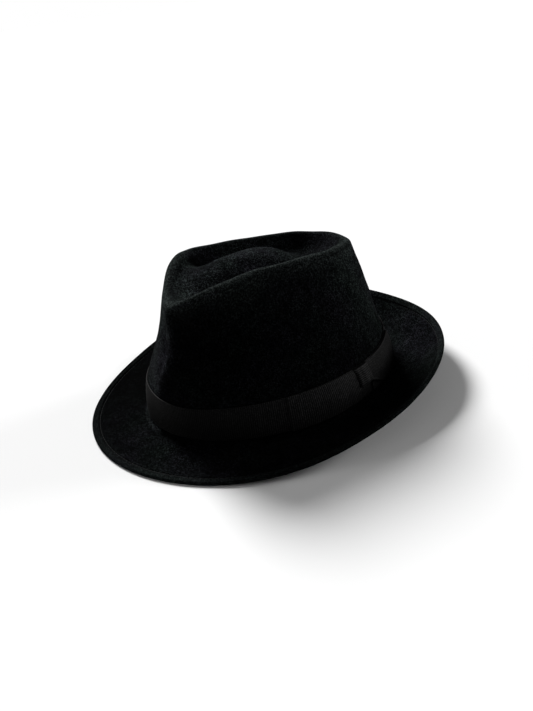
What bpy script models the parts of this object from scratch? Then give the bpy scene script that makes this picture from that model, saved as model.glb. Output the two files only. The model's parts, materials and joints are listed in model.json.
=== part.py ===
# Felt hat with a telescoped teardrop crown, a short brim turned up at the back, and a ribbon with a flat bow.
# The front of the hat faces -Y, its wearer's left is +X, and it lies on its brim at z = 0.
import math

import bpy
import numpy as np

# Head opening and felt
head_length = 0.202        # inside the crown at its foot, front to back
head_width = 0.167         # inside the crown at its foot, side to side
felt = 0.0022              # thickness of the felt
break_radius = 0.0032      # curve of the felt's upper face from the crown into the brim

# Brim, measured flat from the foot of the crown to the cut edge
brim_front = 0.0450
brim_side = 0.0490
brim_back = 0.0350
brim_rise = 0.0265         # how far the edge turns up at the back
brim_curl = 1.6            # 1 turns the brim up straight from the flat ring, more keeps it flat for longer
rest_width = 0.0060        # flat ring under the break that the hat lies on

# Crown
crown_height = 0.1165      # highest point of the crest above the surface that the hat lies on
crest_half_width = 0.0440
crest_half_length = 0.0780
crest_radius = 0.0042      # fold of the felt along the crest
dent_depth = 0.0070        # side pinches in the wall

# Top of the crown: a sunk moat around a raised island
moat_height = 0.0920       # floor of the moat above the surface, at the crown's middle
moat_slope = 0.0600        # fall of the floor towards the back, per metre
moat_reach = 0.5800        # share of the way from the middle to the crest where the floor starts to climb
island_rise = 0.0190
island_front = 0.0800
island_back = 0.0450
island_half_width = 0.0280
island_fall = 1.7          # how fast the island falls away from its highest point
island_round = 1.4         # 1 is a bell, more gives it a flatter top and steeper sides
island_across = -0.0030    # the island's ridge from the middle plane
island_along = 0.0000      # the island's highest point behind the crown's middle

# Ribbon and bow
ribbon_height = 0.0250
ribbon = 0.0007            # thickness of the ribbon
seat_gap = 0.0003          # clearance between pieces that touch
knot_rise = 0.0012         # how far the knot stands out from the wings
knot_width = 0.0175        # along the band
wing_length = 0.0590       # of each wing, from the knot to its fold
bow_angle = 106            # where the middle of the knot sits, in degrees from the front

# Crest, going round from the front to the wearer's left: the angle of the wall that meets it in degrees,
# across and along as shares of the crest's half width and half length, height as a share of the crown's
# height, lean of the wall below it in degrees, and the fold's radius as a share of the crest radius.
crest_columns = ("angle", "across", "along", "height", "lean", "round")
crest_table = (
    (0, 0.070, -0.955, 0.893, 14, 1.8),
    (14, 0.500, -1.050, 0.895, 12, 1.4),
    (26, 0.770, -1.010, 0.930, 14, 1.0),
    (48, 0.910, -0.705, 0.961, 20, 1.0),
    (75, 0.945, -0.320, 0.970, 24, 1.0),
    (100, 1.045, -0.050, 0.966, 24, 1.0),
    (128, 1.070, 0.260, 0.953, 20, 1.0),
    (150, 0.990, 0.540, 0.936, 16, 1.0),
    (166, 0.700, 0.830, 0.914, 16, 1.1),
    (182, 0.170, 0.930, 0.901, 16, 1.2),
    (200, -0.270, 0.860, 0.901, 18, 1.1),
    (225, -0.610, 0.635, 0.914, 24, 1.0),
    (255, -0.820, 0.270, 0.934, 26, 1.0),
    (285, -0.930, -0.100, 0.961, 24, 1.0),
    (310, -0.910, -0.400, 0.983, 20, 1.2),
    (330, -0.690, -0.590, 0.994, 16, 1.5),
    (343, -0.430, -0.735, 0.974, 14, 1.7),
    (352, -0.170, -0.855, 0.923, 14, 1.8),
)

# Turn-up of the brim's edge round the hat, as a share of the rise at the back
rise_columns = ("angle", "rise")
rise_table = (
    (0, 0.00),
    (40, 0.00),
    (62, 0.13),
    (90, 0.56),
    (120, 0.92),
    (145, 1.00),
    (180, 0.93),
    (215, 1.00),
    (240, 0.92),
    (270, 0.56),
    (298, 0.13),
    (320, 0.00),
)

# Pinches in the wall: angle round the hat and half width in degrees, middle and half height as shares of the
# crown's height, and depth as a share of the dent depth
dent_columns = ("angle", "spread", "height", "reach", "depth")
dent_table = (
    (42, 20, 0.62, 0.22, 1.0),
    (-42, 20, 0.62, 0.22, 0.9),
)

# The wing's upper ply, from the knot to its fold: the place along it, and its lower and upper edges as shares
# of the ribbon's height
wing_columns = ("place", "low", "high")
wing_table = (
    (0.00, 0.36, 0.98),
    (0.10, 0.24, 0.98),
    (0.24, 0.04, 1.00),
    (0.40, 0.00, 1.00),
    (1.00, 0.00, 1.00),
)
knot_low = 0.36            # the knot's lower and upper edges, as shares of the ribbon's height
knot_high = 1.00

# Rows of the mesh
around = 64
brim_rows = 6
break_rows = 3
wall_rows = 6
fold_rows = 5
top_rows = 10
band_rows = 2
knot_steps = 5
wing_steps = 9
wing_rows = (0, 0.5, 1)    # shares of the wing's height
wing_bends = (45, 90, 135) # degrees round the wing's fold
sharp_angle = 40           # edges sharper than this stay crisp
angle_step = 0.5           # degrees and metres between the points that a direction is worked out from
height_step = 0.0005

# Base colour and roughness
felt_look = ((0.006, 0.006, 0.007), 0.95)
ribbon_look = ((0.012, 0.012, 0.013), 0.6)

foot_length = head_length / 2 + felt
foot_width = head_width / 2 + felt
foot_height = felt + break_radius
rest_reach = break_radius + rest_width
back_slope = brim_curl * brim_rise * dict(rise_table)[180] / (brim_back - rest_reach)
back_overhang = felt * math.sin(math.atan(back_slope))
centre_shift = (brim_front - brim_back - back_overhang) / 2
bow_seat = 2 * seat_gap + ribbon


def column(table, columns, name):
    return np.array([row[columns.index(name)] for row in table], float)


def around_value(table, columns, name, angles):
    """A smooth closed curve through one column of a table, read at angles in degrees."""
    knots = column(table, columns, "angle")
    values = column(table, columns, name)
    knots = np.concatenate((knots[-2:] - 360, knots, knots[:2] + 360))
    values = np.concatenate((values[-2:], values, values[:2]))
    slopes = np.gradient(values, knots)
    angles = np.mod(angles, 360)
    low = np.searchsorted(knots, angles, side="right") - 1
    span = knots[low + 1] - knots[low]
    t = (angles - knots[low]) / span
    return (
        values[low] * (2 * t**3 - 3 * t**2 + 1)
        + values[low + 1] * (3 * t**2 - 2 * t**3)
        + slopes[low] * span * (t**3 - 2 * t**2 + t)
        + slopes[low + 1] * span * (t**3 - t**2)
    )


def oval(angles, half_width, half_front, half_back):
    turn = np.radians(angles)
    half_length = np.where(np.cos(turn) > 0, half_front, half_back)
    flat = np.zeros_like(turn)
    return np.stack((half_width * np.sin(turn), centre_shift - half_length * np.cos(turn), flat), 1)


def foot_oval(angles, reach):
    """The foot of the crown, widened all round."""
    return oval(angles, foot_width + reach, foot_length + reach, foot_length + reach)


def crest_outward(angles):
    """Level unit vectors that point out of the crest, square to its line."""
    along = crest(angles + 4 * angle_step) - crest(angles - 4 * angle_step)
    sideways = np.stack((along[:, 1], -along[:, 0], np.zeros(len(angles))), 1)
    return sideways / np.linalg.norm(sideways, axis=1, keepdims=True)


def outward_from_foot(angles):
    """Level unit vectors that point out of the crown's foot."""
    turn = np.radians(angles)
    sideways = np.stack((np.sin(turn) / foot_width, -np.cos(turn) / foot_length, np.zeros(len(angles))), 1)
    return sideways / np.linalg.norm(sideways, axis=1, keepdims=True)


def up(heights):
    heights = np.asarray(heights, float)
    return np.stack((np.zeros_like(heights), np.zeros_like(heights), heights), -1)


def brim_rings(angles):
    """Upper face of the brim from the cut edge to the start of the break."""
    edge = oval(angles, foot_width + brim_side, foot_length + brim_front, foot_length + brim_back)
    inner = foot_oval(angles, rest_reach)
    rise = brim_rise * np.maximum(around_value(rise_table, rise_columns, "rise", angles), 0)
    rings = []
    for share in np.linspace(1, 0, brim_rows + 1):
        rings.append(inner + (edge - inner) * share + up(felt + rise * share**brim_curl))
    for width in (rest_width / 2, 0):
        rings.append(foot_oval(angles, break_radius + width) + up(felt + 0 * rise))
    return rings


def break_rings(angles):
    """The curve from the brim up to the foot of the wall."""
    rings = []
    for turn in np.linspace(0, 90, break_rows + 1)[1:-1]:
        reach = break_radius * (1 - math.sin(math.radians(turn)))
        height = foot_height - break_radius * math.cos(math.radians(turn))
        rings.append(foot_oval(angles, reach) + up(height + 0 * angles))
    return rings


def crest(angles):
    across = crest_half_width * around_value(crest_table, crest_columns, "across", angles)
    along = crest_half_length * around_value(crest_table, crest_columns, "along", angles)
    height = crown_height * around_value(crest_table, crest_columns, "height", angles)
    return np.stack((across, centre_shift + along, height), 1)


def fold_point(ring, out, radius, turn):
    turn = np.radians(turn)
    return ring + out * (radius * np.cos(turn))[:, None] + up(radius * (np.sin(turn) - 1))


def dents(angles, heights):
    depth = np.zeros_like(heights)
    for angle, spread, height, reach, share in dent_table:
        aside = (np.mod(angles - angle + 180, 360) - 180) / spread
        above = (heights / crown_height - height) / reach
        depth = depth + dent_depth * share * np.exp(-aside**2 - above**2)
    return depth


def shoulder_ring(angles):
    """Where the wall runs into the fold."""
    ring = crest(angles)
    lean = around_value(crest_table, crest_columns, "lean", angles)
    radius = crest_radius * around_value(crest_table, crest_columns, "round", angles)
    return fold_point(ring, crest_outward(angles), radius, lean)


def wall_points(angles, heights):
    """Points of the wall's outer face at the given angles and heights."""
    foot = foot_oval(angles, 0)
    shoulder = shoulder_ring(angles)
    drop = shoulder[:, 2] - foot_height
    lean = around_value(crest_table, crest_columns, "lean", angles)
    end = -crest_outward(angles) * (drop * np.tan(np.radians(lean)))[:, None]
    t = ((heights - foot_height) / drop)[:, None]
    level = foot * (2 * t**3 - 3 * t**2 + 1) + shoulder * (3 * t**2 - 2 * t**3) + end * (t**3 - t**2)
    level -= outward_from_foot(angles) * (dents(angles, heights) * np.sin(math.pi * t[:, 0]))[:, None]
    level[:, 2] = heights
    return level


def wall_normals(angles, heights):
    """Unit vectors square to the wall, pointing out."""
    sideways = wall_points(angles + angle_step, heights) - wall_points(angles - angle_step, heights)
    upward = wall_points(angles, heights + height_step) - wall_points(angles, heights - height_step)
    normals = np.cross(sideways, upward)
    return normals / np.linalg.norm(normals, axis=1, keepdims=True)


def wall_rings(angles):
    """The wall from its foot to just under the fold, with rows that follow the ribbon's edges."""
    top = foot_height + ribbon_height
    rings = [wall_points(angles, np.full(len(angles), foot_height + ribbon_height * share))
             for share in np.linspace(0, 1, band_rows + 1)]
    shoulder = shoulder_ring(angles)[:, 2]
    for share in np.linspace(0, 1, wall_rows)[1:-1]:
        rings.append(wall_points(angles, top + (shoulder - top) * share))
    return rings


def fold_end(angles):
    """Degrees round the fold where it runs into the slope of the top inside the crest."""
    ring = crest(angles)
    climb = ring[:, 2] - floor_height(ring)
    reach = np.linalg.norm((ring - top_middle())[:, :2], axis=1) * (1 - moat_reach)
    return 90 + np.degrees(np.arctan(2 * climb / reach))


def fold_rings(angles):
    """The fold over the crest, from the wall to the inner side."""
    ring = crest(angles)
    lean = around_value(crest_table, crest_columns, "lean", angles)
    radius = crest_radius * around_value(crest_table, crest_columns, "round", angles)
    out = crest_outward(angles)
    turns = [lean + (fold_end(angles) - lean) * share for share in np.linspace(0, 1, fold_rows + 1)]
    return [fold_point(ring, out, radius, turn) for turn in turns]


def top_middle():
    return np.array((island_across, centre_shift + island_along, 0.0))


def floor_height(points):
    """The moat's floor and the island above it."""
    across = points[:, 0] - island_across
    along = points[:, 1] - centre_shift - island_along
    length = np.where(along < 0, island_front, island_back)
    away = (across / island_half_width) ** 2 + (along / length) ** 2
    island = island_rise * np.exp(-island_fall * away**island_round)
    return moat_height - moat_slope * (points[:, 1] - centre_shift) + island


def top_rings(angles):
    """The top inside the crest, from the fold to a last ring round the middle."""
    rim = fold_rings(angles)[-1]
    middle = top_middle()
    climb = rim[:, 2] - floor_height(rim)
    rings = []
    for share in np.linspace(1, 0, top_rows + 1)[1:-1]:
        point = middle + (rim - middle) * share
        point[:, 2] = floor_height(point)
        steep = max(share - moat_reach, 0) / (1 - moat_reach)
        rings.append(point + up(climb * steep**2))
    return rings


def ring_normals(rings):
    rings = np.array(rings)
    inward = np.gradient(rings, axis=0)
    sideways = np.roll(rings, -1, 1) - np.roll(rings, 1, 1)
    normals = np.cross(sideways, inward)
    return normals / np.linalg.norm(normals, axis=2, keepdims=True)


def add_mesh(name, vertices, faces, look):
    colour, roughness = look
    mesh = bpy.data.meshes.new(name)
    mesh.from_pydata([tuple(v) for v in vertices], [], faces)
    mesh.validate()
    mesh.shade_smooth()
    mesh.set_sharp_from_angle(angle=math.radians(sharp_angle))
    material = bpy.data.materials.new(name)
    material.use_nodes = True
    shader = material.node_tree.nodes["Principled BSDF"]
    shader.inputs["Base Color"].default_value = (*colour, 1)
    shader.inputs["Roughness"].default_value = roughness
    shader.inputs["Metallic"].default_value = 0
    mesh.materials.append(material)
    piece = bpy.data.objects.new(name, mesh)
    bpy.context.scene.collection.objects.link(piece)
    return piece


def ring_faces(first, count):
    """Faces between two neighbouring rings of count points, the first starting at index first."""
    faces = []
    for i in range(count):
        j = (i + 1) % count
        faces.append((first + i, first + j, first + count + j, first + count + i))
    return faces


def build_felt():
    angles = np.arange(around) * 360 / around
    brim = brim_rings(angles)
    rings = brim + break_rings(angles) + wall_rings(angles) + fold_rings(angles) + top_rings(angles)
    normals = ring_normals(rings)
    flat_rows = slice(brim_rows, brim_rows + 3)
    normals[flat_rows] = (0, 0, 1)
    outer = np.array(rings)
    inner = outer - felt * normals
    middle = top_middle()
    middle[2] = floor_height(middle[None])[0]
    rows = len(rings)
    vertices = np.concatenate((outer.reshape(-1, 3), [middle], inner.reshape(-1, 3), [middle - (0, 0, felt)]))
    half = rows * around + 1
    faces = []
    for row in range(rows - 1):
        faces += ring_faces(row * around, around)
        faces += [face[::-1] for face in ring_faces(half + row * around, around)]
    last = (rows - 1) * around
    for i in range(around):
        j = (i + 1) % around
        faces.append((last + i, last + j, half - 1))
        faces.append((half + last + j, half + last + i, 2 * half - 1))
        faces.append((i, half + i, half + j, j))
    return add_mesh("felt_body", vertices, faces, felt_look)


def on_wall(angles, shares, offsets):
    """Points off the wall's outer face, at shares of the ribbon's height."""
    heights = foot_height + ribbon_height * np.asarray(shares, float)
    return wall_points(angles, heights) + wall_normals(angles, heights) * np.asarray(offsets, float)[:, None]


def strip(angles, low, high, inner, outer, closed=False):
    """Vertices and faces of a strip along the wall, with its edges as shares of the ribbon's height."""
    count = len(angles)
    shares = np.linspace(0, 1, band_rows + 1)
    section = [(share, inner) for share in shares] + [(share, outer) for share in shares[::-1]]
    vertices = []
    for share, offset in section:
        vertices += list(on_wall(angles, low + (high - low) * share + 0 * angles, offset + 0 * angles))
    faces = []
    for k in range(len(section)):
        first, second = k * count, (k + 1) % len(section) * count
        for i in range(count if closed else count - 1):
            j = (i + 1) % count
            faces.append((first + i, second + i, second + j, first + j))
    if not closed:
        faces.append([k * count for k in range(len(section))][::-1])
        faces.append([k * count + count - 1 for k in range(len(section))])
    return vertices, faces


def build_band():
    angles = np.arange(around) * 360 / around
    return add_mesh("hat_band", *strip(angles, 0, 1, seat_gap, seat_gap + ribbon, closed=True), ribbon_look)


def angle_along(distance):
    """The angle reached by going this far along the band from the middle of the knot."""
    turn = math.radians(bow_angle)
    pace = math.hypot(foot_width * math.cos(turn), foot_length * math.sin(turn))
    return bow_angle + np.degrees(np.asarray(distance, float) / pace)


def build_knot():
    angles = angle_along(np.linspace(-knot_width / 2, knot_width / 2, knot_steps))
    inner = bow_seat
    outer = bow_seat + 2 * ribbon + seat_gap + knot_rise
    return add_mesh("bow_knot", *strip(angles, knot_low, knot_high, inner, outer), ribbon_look)


def wing_edge(places, name):
    return np.interp(places, column(wing_table, wing_columns, "place"), column(wing_table, wing_columns, name))


def build_wing(name, side):
    """A flat loop of ribbon: an upper ply from the knot to the fold, and a lower ply back."""
    places = np.linspace(0, 1, wing_steps)
    bends = np.radians(wing_bends)
    over = bow_seat + 2 * ribbon + seat_gap
    outer_bend = (over - bow_seat) / 2
    slot_bend = seat_gap / 2
    centre = bow_seat + outer_bend

    def ply_path(half_depth):
        away = 1 + half_depth * np.sin(bends) / wing_length
        reach = np.concatenate((places, away, places[::-1]))
        level = np.ones(len(places))
        return reach, centre + half_depth * np.concatenate((level, np.cos(bends), -level))

    rest = np.ones(len(bends) + len(places))
    lows = np.concatenate((wing_edge(places, "low"), 0 * rest))
    highs = np.concatenate((wing_edge(places, "high"), rest))
    start = side * (knot_width / 2 + seat_gap)
    vertices = []
    for share in wing_rows:
        for half_depth in (outer_bend, slot_bend):
            reach, offset = ply_path(half_depth)
            angles = angle_along(start + side * reach * wing_length)
            vertices += list(on_wall(angles, lows + (highs - lows) * share, offset))
    count = len(lows)
    faces = []
    for i in range(count - 1):
        for row in (0, 1):
            below, above = 2 * row * count, 2 * (row + 1) * count
            faces.append((below + i, below + i + 1, above + i + 1, above + i))
            faces.append((below + count + i + 1, below + count + i, above + count + i, above + count + i + 1))
        faces.append((i + 1, i, count + i, count + i + 1))
        top = 4 * count
        faces.append((top + i, top + i + 1, top + count + i + 1, top + count + i))
    for row in (0, 1):
        below, above = 2 * row * count, 2 * (row + 1) * count
        faces.append((below, above, above + count, below + count))
        last = count - 1
        faces.append((below + last, below + count + last, above + count + last, above + last))
    if side < 0:
        faces = [face[::-1] for face in faces]
    return add_mesh(name, vertices, faces, ribbon_look)


def clear_scene():
    for item in list(bpy.data.objects):
        bpy.data.objects.remove(item, do_unlink=True)


clear_scene()
build_felt()
build_band()
build_knot()
build_wing("bow_front_wing", -1)
build_wing("bow_rear_wing", 1)
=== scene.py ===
import json
import math

import bpy
import numpy as np
from mathutils import Matrix, Vector

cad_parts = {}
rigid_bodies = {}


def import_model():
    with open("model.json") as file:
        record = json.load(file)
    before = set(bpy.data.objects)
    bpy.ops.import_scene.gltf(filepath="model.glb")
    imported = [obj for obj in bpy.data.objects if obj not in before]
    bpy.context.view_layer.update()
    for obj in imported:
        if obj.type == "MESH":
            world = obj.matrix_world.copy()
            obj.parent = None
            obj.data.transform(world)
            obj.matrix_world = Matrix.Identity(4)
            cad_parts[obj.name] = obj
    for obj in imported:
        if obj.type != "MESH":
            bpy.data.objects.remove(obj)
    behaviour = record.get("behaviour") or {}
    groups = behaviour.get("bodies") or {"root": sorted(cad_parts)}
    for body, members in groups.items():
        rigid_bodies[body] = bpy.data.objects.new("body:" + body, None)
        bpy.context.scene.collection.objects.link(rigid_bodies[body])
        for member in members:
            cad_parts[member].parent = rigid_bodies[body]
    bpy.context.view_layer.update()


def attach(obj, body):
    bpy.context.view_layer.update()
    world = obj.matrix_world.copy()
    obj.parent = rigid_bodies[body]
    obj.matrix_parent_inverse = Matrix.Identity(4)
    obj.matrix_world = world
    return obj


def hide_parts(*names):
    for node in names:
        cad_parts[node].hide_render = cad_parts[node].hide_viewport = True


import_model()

# A black felt hat: the front faces -Y, the wearer's left is +X, and it lies on its brim at z = 0.


class Wire:
    # a node's output that adds Math nodes when it is used in an expression
    def __init__(self, tree, node, output=0):
        self.tree, self.node, self.socket = tree, node, node.outputs[output]

    def __getitem__(self, output):
        return Wire(self.tree, self.node, output)

    def math(self, operation, *values):
        return self.tree.add("ShaderNodeMath", {"operation": operation}, dict(enumerate(values)))

    def __add__(self, other): return self.math("ADD", self, other)
    def __radd__(self, other): return self.math("ADD", other, self)
    def __sub__(self, other): return self.math("SUBTRACT", self, other)
    def __rsub__(self, other): return self.math("SUBTRACT", other, self)
    def __mul__(self, other): return self.math("MULTIPLY", self, other)
    def __rmul__(self, other): return self.math("MULTIPLY", other, self)
    def __truediv__(self, other): return self.math("DIVIDE", self, other)
    def __rtruediv__(self, other): return self.math("DIVIDE", other, self)
    def cos(self): return self.math("COSINE", self)
    def clamped(self): return self.math("MAXIMUM", self.math("MINIMUM", self, 1.0), 0.0)


class Tree:
    def __init__(self, nodeTree):
        self.nodes, self.links = nodeTree.nodes, nodeTree.links

    def add(self, kind, settings=None, values=None):
        # settings first, then the values or links of the sockets, by name or number
        node = self.nodes.new(kind)
        for name, value in (settings or {}).items():
            setattr(node, name, value)
        for name, value in (values or {}).items():
            if isinstance(value, Wire):
                self.links.new(value.socket, node.inputs[name])
            else:
                node.inputs[name].default_value = value
        return Wire(self, node) if len(node.outputs) else node

    def mix(self, factor, first, second):
        colours = {0: factor}
        for number, colour in ((6, first), (7, second)):
            colours[number] = colour if isinstance(colour, Wire) else (*colour, 1)
        return self.add("ShaderNodeMix", {"data_type": "RGBA"}, colours)[2]

    def scaled(self, colour, amount):
        return self.add("ShaderNodeVectorMath", {"operation": "SCALE"}, {0: colour, "Scale": amount})

    def noise(self, place, scale, detail=3.0, roughness=0.6):
        values = {"Vector": place, "Scale": scale, "Detail": detail, "Roughness": roughness}
        return self.add("ShaderNodeTexNoise", None, values)


def newMaterial(name):
    material = bpy.data.materials.new(name)
    material.use_nodes = True
    material.node_tree.nodes.clear()
    return material, Tree(material.node_tree)


def finishMaterial(tree, **sockets):
    values = {name.replace("_", " "): value for name, value in sockets.items()}
    shader = tree.add("ShaderNodeBsdfPrincipled", None, values)
    tree.add("ShaderNodeOutputMaterial", None, {"Surface": shader})


feltFinish = {
    "fibre": 1050.0,           # scales of the noises, fine to coarse
    "tuft": 430.0,
    "patch": 95.0,
    "cloud": 27.0,
    "deep": ((0.0003, 0.0004, 0.0004), (0.0004, 0.0004, 0.0005)),      # between the tufts, two hues, as painted shade
    "pale": ((0.0112, 0.0146, 0.0138), (0.0122, 0.0124, 0.0154)),      # their tips, two hues, as a painted highlight
    "worn": ((0.0065, 0.0082, 0.0080), (0.0430, 0.0510, 0.0490)),      # worn felt, dark and pale, partly a painted highlight
    "bumpStrength": 0.75,
    "bumpHeight": 0.00034,
    "specular": 0.003,
    "sheen": 0.0006,
}


def makeFeltMaterial():
    # matted fur as a random grain, with painted shade between the tufts and a painted highlight at their
    # tips, brushed light or dark, partly as painted light and shade round the hat, and worn along the folds
    # with a painted highlight there
    material, tree = newMaterial("blackFelt")
    place = tree.add("ShaderNodeTexCoord")["Object"]
    wear = tree.add("ShaderNodeAttribute", {"attribute_name": "wear"})["Fac"]
    nap = tree.add("ShaderNodeAttribute", {"attribute_name": "nap"})["Fac"]
    fibre = tree.noise(place, feltFinish["fibre"], 2.0, 0.6)
    tuft = tree.noise(place, feltFinish["tuft"], 3.0, 0.6)
    patch = tree.noise(place, feltFinish["patch"], 2.0, 0.5)
    cloud = tree.noise(place, feltFinish["cloud"], 3.0, 0.55)
    # painted shade between the tufts and a painted highlight on their tips, spread as a random grain
    tips = ((fibre - 0.44) * 5.5).clamped()
    clump = ((tuft - 0.38) * 4.2).clamped()
    level = tips * (0.25 + 0.75 * clump) * (0.35 + 1.3 * patch)
    hue = ((cloud - 0.36) * 3.6).clamped()
    deep = tree.mix(hue, *feltFinish["deep"])
    pale = tree.mix(hue, *feltFinish["pale"])
    colour = tree.mix(level.clamped(), deep, pale)
    # painted light and shade round the hat, mixed with brushed nap, scale the colour
    colour = tree.scaled(colour, nap * (0.55 + 0.9 * patch))
    wornAndPaintedHighlightColour = tree.mix(tips, *feltFinish["worn"])
    # wear along the crest and the lip, partly a painted highlight
    colour = tree.mix((wear * (0.45 + 0.5 * clump)).clamped(), colour, wornAndPaintedHighlightColour)
    bump = tree.add("ShaderNodeBump", None, {
        "Strength": feltFinish["bumpStrength"],
        "Distance": feltFinish["bumpHeight"],
        "Height": 0.7 * fibre + 0.9 * tuft,
    })
    finishMaterial(
        tree,
        Base_Color=colour,
        Roughness=0.84 + 0.14 * fibre,
        Normal=bump,
        Specular_IOR_Level=feltFinish["specular"],
        Sheen_Weight=feltFinish["sheen"],
        Sheen_Roughness=0.42,
        Sheen_Tint=(0.78, 0.90, 0.94, 1),
    )
    return material


ribbonFinish = {
    "speck": 900.0,            # scales of the noises
    "cloud": 60.0,
    # painted shade between the cords, and a painted highlight on their tops
    "deep": (0.0016, 0.0016, 0.0016),
    "pale": (0.0280, 0.0280, 0.0287),
    "yarnPitch": 0.00042,
    "bumpStrength": 0.35,
    "bumpHeight": 0.00012,
    "specular": 0.03,
    "sheen": 0.001,
}


def makeRibbonMaterial():
    # corded ribbon: the cords are real, and the yarn between them
    # is a bump that follows the ribbon's own lengths
    material, tree = newMaterial("grosgrain")
    place = tree.add("ShaderNodeUVMap", {"uv_map": "UVMap"})
    parts = tree.add("ShaderNodeSeparateXYZ", None, {0: place})
    cord = (parts["X"] * (2 * math.pi / ribbon["ribPitch"])).cos() * 0.5 + 0.5
    yarn = (parts["Y"] * (2 * math.pi / ribbonFinish["yarnPitch"])).cos() * 0.5 + 0.5
    speck = tree.noise(tree.add("ShaderNodeTexCoord")["Object"], ribbonFinish["speck"], 3.0, 0.7)
    cloud = tree.noise(tree.add("ShaderNodeTexCoord")["Object"], ribbonFinish["cloud"], 2.0, 0.5)
    glint = ((speck - 0.42) * 4.5).clamped()
    nap = tree.add("ShaderNodeAttribute", {"attribute_name": "nap"})["Fac"]
    # the cords' tops get a painted highlight and the grooves between them painted shade, with random glints
    # and clouds; the attribute scales in painted light and shade round the hat
    level = cord * (0.25 + 0.75 * glint) * (0.4 + 1.1 * cloud)
    colour = tree.mix(level.clamped(), ribbonFinish["deep"], ribbonFinish["pale"])
    bump = tree.add("ShaderNodeBump", None, {
        "Strength": ribbonFinish["bumpStrength"],
        "Distance": ribbonFinish["bumpHeight"],
        "Height": 0.7 * yarn + 0.5 * speck,
    })
    finishMaterial(
        tree,
        Base_Color=tree.scaled(colour, nap),
        Roughness=0.50 + 0.16 * speck,
        Normal=bump,
        Specular_IOR_Level=ribbonFinish["specular"],
        Sheen_Weight=ribbonFinish["sheen"],
        Sheen_Roughness=0.4,
    )
    return material


def makeThreadMaterial():
    material, tree = newMaterial("blackThread")
    place = tree.add("ShaderNodeTexCoord")["Object"]
    ply = tree.noise(place, 2600.0, 2.0, 0.6)
    bump = tree.add("ShaderNodeBump", None, {"Strength": 0.5, "Distance": 0.0001, "Height": ply})
    finishMaterial(
        tree,
        Base_Color=tree.mix(ply, (0.0030, 0.0032, 0.0033), (0.0140, 0.0145, 0.0148)),
        Roughness=0.6 + 0.2 * ply,
        Normal=bump,
        Specular_IOR_Level=0.05,
    )
    return material


def makePiece(name, points, faces, material, uv=None, **attributes):
    mesh = bpy.data.meshes.new(name)
    mesh.from_pydata(np.asarray(points).tolist(), [], faces)
    mesh.materials.append(material)
    for label, values in attributes.items():
        layer = mesh.attributes.new(label, "FLOAT", "POINT")
        layer.data.foreach_set("value", np.asarray(values, np.float32))
    if uv is not None:
        corners = np.empty(len(mesh.loops), np.int32)
        mesh.loops.foreach_get("vertex_index", corners)
        layer = mesh.uv_layers.new(name="UVMap")
        layer.data.foreach_set("uv", np.asarray(uv, np.float32)[corners].ravel())
    mesh.shade_smooth()
    piece = bpy.data.objects.new(name, mesh)
    bpy.context.scene.collection.objects.link(piece)
    return piece


def bakeModifiers(piece):
    graph = bpy.context.evaluated_depsgraph_get()
    mesh = bpy.data.meshes.new_from_object(piece.evaluated_get(graph))
    piece.modifiers.clear()
    piece.data = mesh
    mesh.name = piece.name
    mesh.shade_smooth()


felt = {
    "thickness": 0.0022,
    "headLength": 0.202,
    "headWidth": 0.167,
    "breakRadius": 0.0032,
    "brimFront": 0.0450,
    "brimSide": 0.0490,
    "brimBack": 0.0350,
    "brimRise": 0.0265,
    "brimCurl": 1.6,
    "restWidth": 0.0060,
    "crownHeight": 0.1165,
    "crestHalfWidth": 0.0440,
    "crestHalfLength": 0.0780,
    "crestRadius": 0.0042,
    "dentDepth": 0.0070,
    "moatHeight": 0.0920,
    "moatSlope": 0.0600,
    "moatReach": 0.5800,
    "islandRise": 0.0190,
    "islandFront": 0.0800,
    "islandBack": 0.0450,
    "islandHalfWidth": 0.0280,
    "islandAcross": -0.0030,
    "islandAlong": 0.0,
    "islandFall": 1.7,         # how quickly the island falls off, and how round it is
    "islandRound": 1.4,
    "pocketDepth": 0.0045,     # hollow beside the island's nose
    "pocketPlace": (-0.029, -0.029),
    "pocketSize": (0.009, 0.011),
    "unevenness": 0.00022,     # waviness left by the block and the hand
    "columns": 320,
    "brimRows": 20,
    "wallRows": 46,
    "foldRows": 15,
    "topRows": 44,
}
# angle of the wall, across, along, height, lean of the wall below, size of the fold
crestTable = np.array((
    (0, 0.070, -0.955, 0.893, 14, 1.8),
    (14, 0.500, -1.050, 0.895, 12, 1.4),
    (26, 0.770, -1.010, 0.930, 14, 1.0),
    (48, 0.910, -0.705, 0.961, 20, 1.0),
    (75, 0.945, -0.320, 0.970, 24, 1.0),
    (100, 1.045, -0.050, 0.966, 24, 1.0),
    (128, 1.070, 0.260, 0.953, 20, 1.0),
    (150, 0.990, 0.540, 0.936, 16, 1.0),
    (166, 0.700, 0.830, 0.914, 16, 1.1),
    (182, 0.170, 0.930, 0.901, 16, 1.2),
    (200, -0.270, 0.860, 0.901, 18, 1.1),
    (225, -0.610, 0.635, 0.914, 24, 1.0),
    (255, -0.820, 0.270, 0.934, 26, 1.0),
    (285, -0.930, -0.100, 0.961, 24, 1.0),
    (310, -0.910, -0.400, 0.983, 20, 1.2),
    (330, -0.690, -0.590, 0.994, 16, 1.5),
    (343, -0.430, -0.735, 0.974, 14, 1.7),
    (352, -0.170, -0.855, 0.923, 14, 1.8),
))
across, along, height, lean, foldSize = 1, 2, 3, 4, 5
# angle, share of the brim's turn-up
riseTable = np.array((
    (0, 0.0), (40, 0.0), (62, 0.13), (90, 0.56), (120, 0.92), (145, 1.0),
    (180, 0.93), (215, 1.0), (240, 0.92), (270, 0.56), (298, 0.13), (320, 0.0),
))
# angle, half width, middle height, half height, depth
dentTable = ((42, 20, 0.62, 0.22, 1.0), (-42, 20, 0.62, 0.22, 0.9))
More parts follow.
